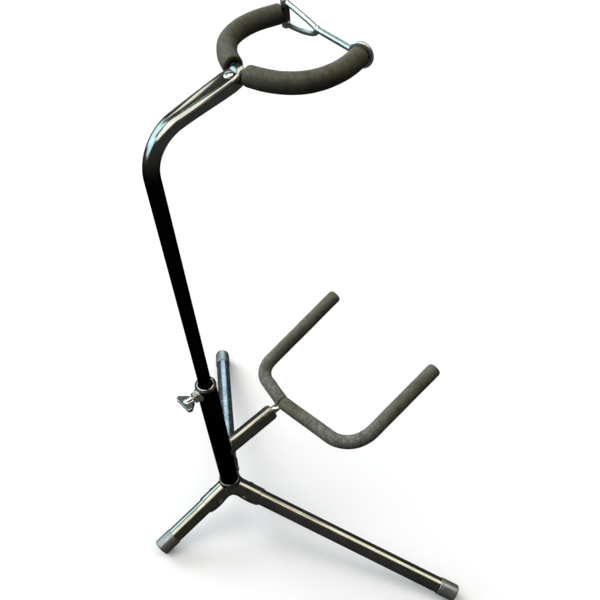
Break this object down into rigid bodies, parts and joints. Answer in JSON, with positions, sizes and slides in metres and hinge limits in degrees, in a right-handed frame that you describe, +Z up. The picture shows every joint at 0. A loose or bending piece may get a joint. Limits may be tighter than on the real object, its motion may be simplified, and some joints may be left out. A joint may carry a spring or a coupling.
{
  "type": "guitar stand",
  "caption": "Free-standing tubular guitar stand with a three-legged base, telescoping upright, padded neck yoke with a gate, and a padded cradle.",
  "frame": {"origin": "the floor point under the middle of the stand's bounding box", "axes": "+Z up from the floor, -Y towards the stand's open front, where the guitar goes, +X to the right seen from the front"},
  "size_m": [0.5936, 0.358, 0.7183],
  "materials": {
    "black_chrome": "smoked chrome plating over steel, hand-worn",
    "gloss_black": "gloss black plating over steel tube",
    "worn_chrome": "gloss black plating, pitted and dusty",
    "nickel": "bright nickel plate",
    "rod_steel": "dull steel rod",
    "foam": "matt closed-cell foam, scuffed",
    "foot_rubber": "satin rubber",
    "black_plastic": "moulded black plastic",
    "satin_chrome": "satin chrome plate over a casting, rubbed"
  },
  "bodies": {
    "base": {"hub_spider": "black_chrome", "lower_tube": "gloss_black", "clamp_nut": "nickel", "collar_bush": "black_plastic", "stem_tube": "black_chrome", "stem_bush": "black_chrome", "leg_rivet_rear": "nickel", "leg_rivet_left": "nickel", "leg_rivet_right": "nickel"},
    "leg_rear": {"leg_tube_rear": "black_chrome", "foot_cap_rear": "foot_rubber"},
    "leg_left": {"leg_tube_left": "black_chrome", "foot_cap_left": "foot_rubber"},
    "leg_right": {"leg_tube_right": "worn_chrome", "foot_cap_right": "foot_rubber"},
    "guide": {"guide_bush": "black_plastic"},
    "head": {"upper_tube": "gloss_black", "neck_rivet": "nickel", "yoke_rod": "rod_steel", "yoke_sleeve_right": "foam", "yoke_sleeve_left": "foam", "gate_pin": "nickel"},
    "gate": {"gate": "satin_chrome"},
    "clamp_screw": {"bolt_shank": "nickel"},
    "wing": {"wing_head": "nickel"},
    "cradle": {"cradle_pin": "nickel", "cradle_rod": "rod_steel", "cradle_sleeve_right": "foam", "cradle_sleeve_left": "foam"}
  },
  "joints": [
    {"name": "fold_rear", "type": "hinge", "parent": "base", "child": "leg_rear", "pos_m": [0, 0.06951, 0.06616], "axis": [-1, 0, 0], "range_deg": [0, 71]},
    {"name": "fold_left", "type": "hinge", "parent": "base", "child": "leg_left", "pos_m": [-0.023, 0.03078, 0.07546], "axis": [0.5, -0.8421, 0.2022], "range_deg": [0, 71]},
    {"name": "fold_right", "type": "hinge", "parent": "base", "child": "leg_right", "pos_m": [0.023, 0.03078, 0.07546], "axis": [0.5, 0.8421, -0.2022], "range_deg": [0, 71]},
    {"name": "height_slide", "type": "slide", "parent": "base", "child": "guide", "axis": [0, 0.2334, 0.9724], "range_m": [-0.085, 0.08]},
    {"name": "head_swivel", "type": "hinge", "parent": "guide", "child": "head", "pos_m": [0, 0.04576, 0.081], "axis": [0, 0.2334, 0.9724], "continuous": true},
    {"name": "gate_swing", "type": "hinge", "parent": "head", "child": "gate", "pos_m": [0.05536, -0.01013, 0.70305], "axis": [0, 0.2334, 0.9724], "range_deg": [0, 110]},
    {"name": "bolt_travel", "type": "slide", "parent": "base", "child": "clamp_screw", "axis": [0, 0.9724, -0.2334], "range_m": [0, 0.003]},
    {"name": "wing_turn", "type": "hinge", "parent": "clamp_screw", "child": "wing", "pos_m": [0, 0.09689, 0.29395], "axis": [0, 0.9724, -0.2334], "range_deg": [0, 720]},
    {"name": "cradle_swivel", "type": "hinge", "parent": "base", "child": "cradle", "pos_m": [0, 0.06467, 0.15976], "axis": [0, -0.9171, 0.3987], "continuous": true}
  ],
  "couplings": [
    {"joint": "bolt_travel", "follows": "wing_turn", "m_per_rad": 0.00015915}
  ]
}
